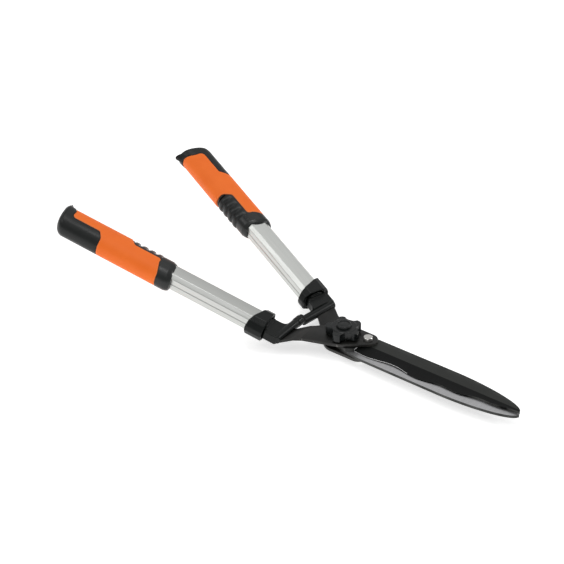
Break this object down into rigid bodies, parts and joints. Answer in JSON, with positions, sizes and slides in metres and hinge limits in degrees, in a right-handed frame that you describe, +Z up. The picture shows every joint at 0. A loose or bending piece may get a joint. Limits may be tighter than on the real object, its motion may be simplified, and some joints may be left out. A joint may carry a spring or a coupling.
{
  "type": "hedge shears",
  "caption": "Two-handed hedge shears with wavy overlapping blades, cranked steel arms, an adjusting knob at the pivot, aluminium tube handles and two-colour cushioned grips.",
  "frame": {"origin": "pivot axis at the flat underside of the pivot bolt's head", "axes": "+X to the blade tips, +Y to the left handle, +Z up along the pivot bolt through the adjusting knob"},
  "size_m": [0.5718, 0.2606, 0.1232],
  "materials": {
    "zinc_steel": "bright zinc plate",
    "knob_black": "fine moulded texture",
    "blade_black": "black non-stick coating with a bare ground edge",
    "arm_black": "satin black powder coat",
    "bracket_black": "satin moulded",
    "tube_aluminium": "satin extruded",
    "grip_black": "matt, finely grained",
    "grip_orange": "matt, finely grained",
    "bumper_rubber": "matt"
  },
  "bodies": {
    "left_half": {"pivot_bolt": "zinc_steel", "pivot_head_washer": "zinc_steel", "left_blade": "blade_black", "left_blade_bolt": "zinc_steel", "left_arm": "arm_black", "left_bracket": "bracket_black", "left_tang_screws": "zinc_steel", "left_collar": "bracket_black", "left_collar_screw": "zinc_steel", "left_tube": "tube_aluminium", "left_grip_core": "grip_black", "left_overmould": "grip_orange", "left_palm_pad": "grip_black", "left_finger_pad": "grip_black"},
    "right_half": {"pivot_bush": "zinc_steel", "knob_flat_washer": "zinc_steel", "knob_spring_washer": "zinc_steel", "right_blade": "blade_black", "right_blade_bolt": "zinc_steel", "right_arm": "arm_black", "right_bracket": "bracket_black", "right_tang_screws": "zinc_steel", "right_collar": "bracket_black", "right_collar_screw": "zinc_steel", "right_tube": "tube_aluminium", "right_grip_core": "grip_black", "right_overmould": "grip_orange", "right_palm_pad": "grip_black", "right_finger_pad": "grip_black", "bumper": "bumper_rubber"},
    "knob_carriage": {"knob_thrust_washer": "zinc_steel"},
    "knob": {"knob_body": "knob_black", "knob_cap": "knob_black", "knob_insert": "zinc_steel"}
  },
  "joints": [
    {"name": "blade_pivot", "type": "hinge", "parent": "left_half", "child": "right_half", "pos_m": [0, 0, 0.014], "axis": [0, 0, 1], "range_deg": [0, 75]},
    {"name": "knob_lift", "type": "slide", "parent": "left_half", "child": "knob_carriage", "axis": [0, 0, 1], "range_m": [0, 0.003]},
    {"name": "knob_turn", "type": "hinge", "parent": "knob_carriage", "child": "knob", "pos_m": [0, 0, 0.014], "axis": [0, 0, 1], "range_deg": [0, 720]}
  ],
  "couplings": [
    {"joint": "knob_turn", "follows": "knob_lift", "rad_per_m": 4188.8}
  ]
}
